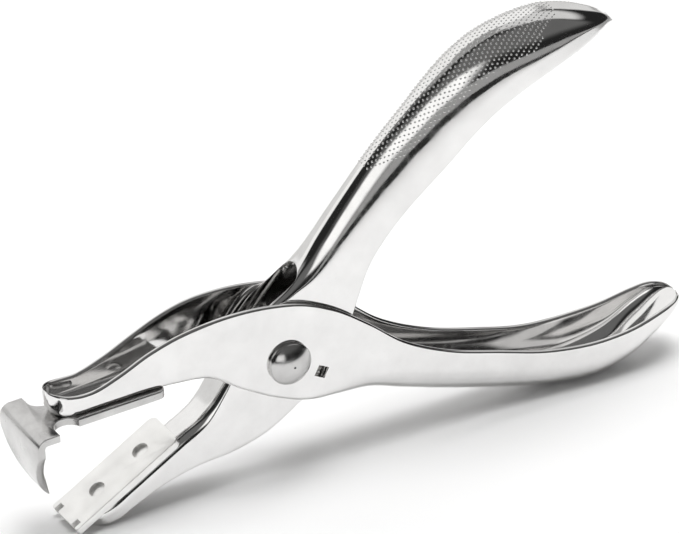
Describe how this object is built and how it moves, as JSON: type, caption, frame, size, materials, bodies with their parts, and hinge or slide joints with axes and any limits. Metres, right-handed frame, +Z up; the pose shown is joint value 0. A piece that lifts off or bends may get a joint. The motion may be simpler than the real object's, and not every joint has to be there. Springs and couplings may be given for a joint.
{
  "type": "staple remover",
  "caption": "Plier-type staple remover: nested channel levers on a rivet, a curved claw blade above a notched anvil plate, and a return spring between the handles.",
  "frame": {"origin": "centre of the bounding box, on the surface the tool stands on when it is propped on its lower jaw and lower handle", "axes": "+Z up, +X from the jaws towards the handles, Y along the pivot rivet with the rivet's domed head on the -Y side"},
  "size_m": [0.1614, 0.0184, 0.0944],
  "materials": {
    "plated_outer": "polished nickel or chrome plating on pressed steel",
    "plated_inner": "polished nickel or chrome plating on pressed steel",
    "plated_claw": "polished plate with a ground cutting edge",
    "plated_anvil": "satin plated plate",
    "rivet_steel": "plated, softly polished",
    "sleeve_steel": "plain turned tube",
    "spring_wire": "drawn wire"
  },
  "bodies": {
    "outer_body": {"outer_lever": "plated_outer", "pivot_rivet": "rivet_steel", "pivot_sleeve": "sleeve_steel", "return_spring": "spring_wire", "claw_blade": "plated_claw", "claw_rivet_front": "rivet_steel", "claw_rivet_rear": "rivet_steel"},
    "inner_body": {"inner_lever": "plated_inner", "anvil_plate": "plated_anvil", "anvil_rivet_front": "rivet_steel", "anvil_rivet_rear": "rivet_steel"}
  },
  "joints": [
    {"name": "squeeze", "type": "hinge", "parent": "outer_body", "child": "inner_body", "pos_m": [-0.01784, 0, 0.02862], "axis": [0, 1, 0], "range_deg": [0, 21], "stiffness_Nm_per_rad": 0.3, "springref_deg": -51.57, "deforming": ["return_spring"]}
  ]
}
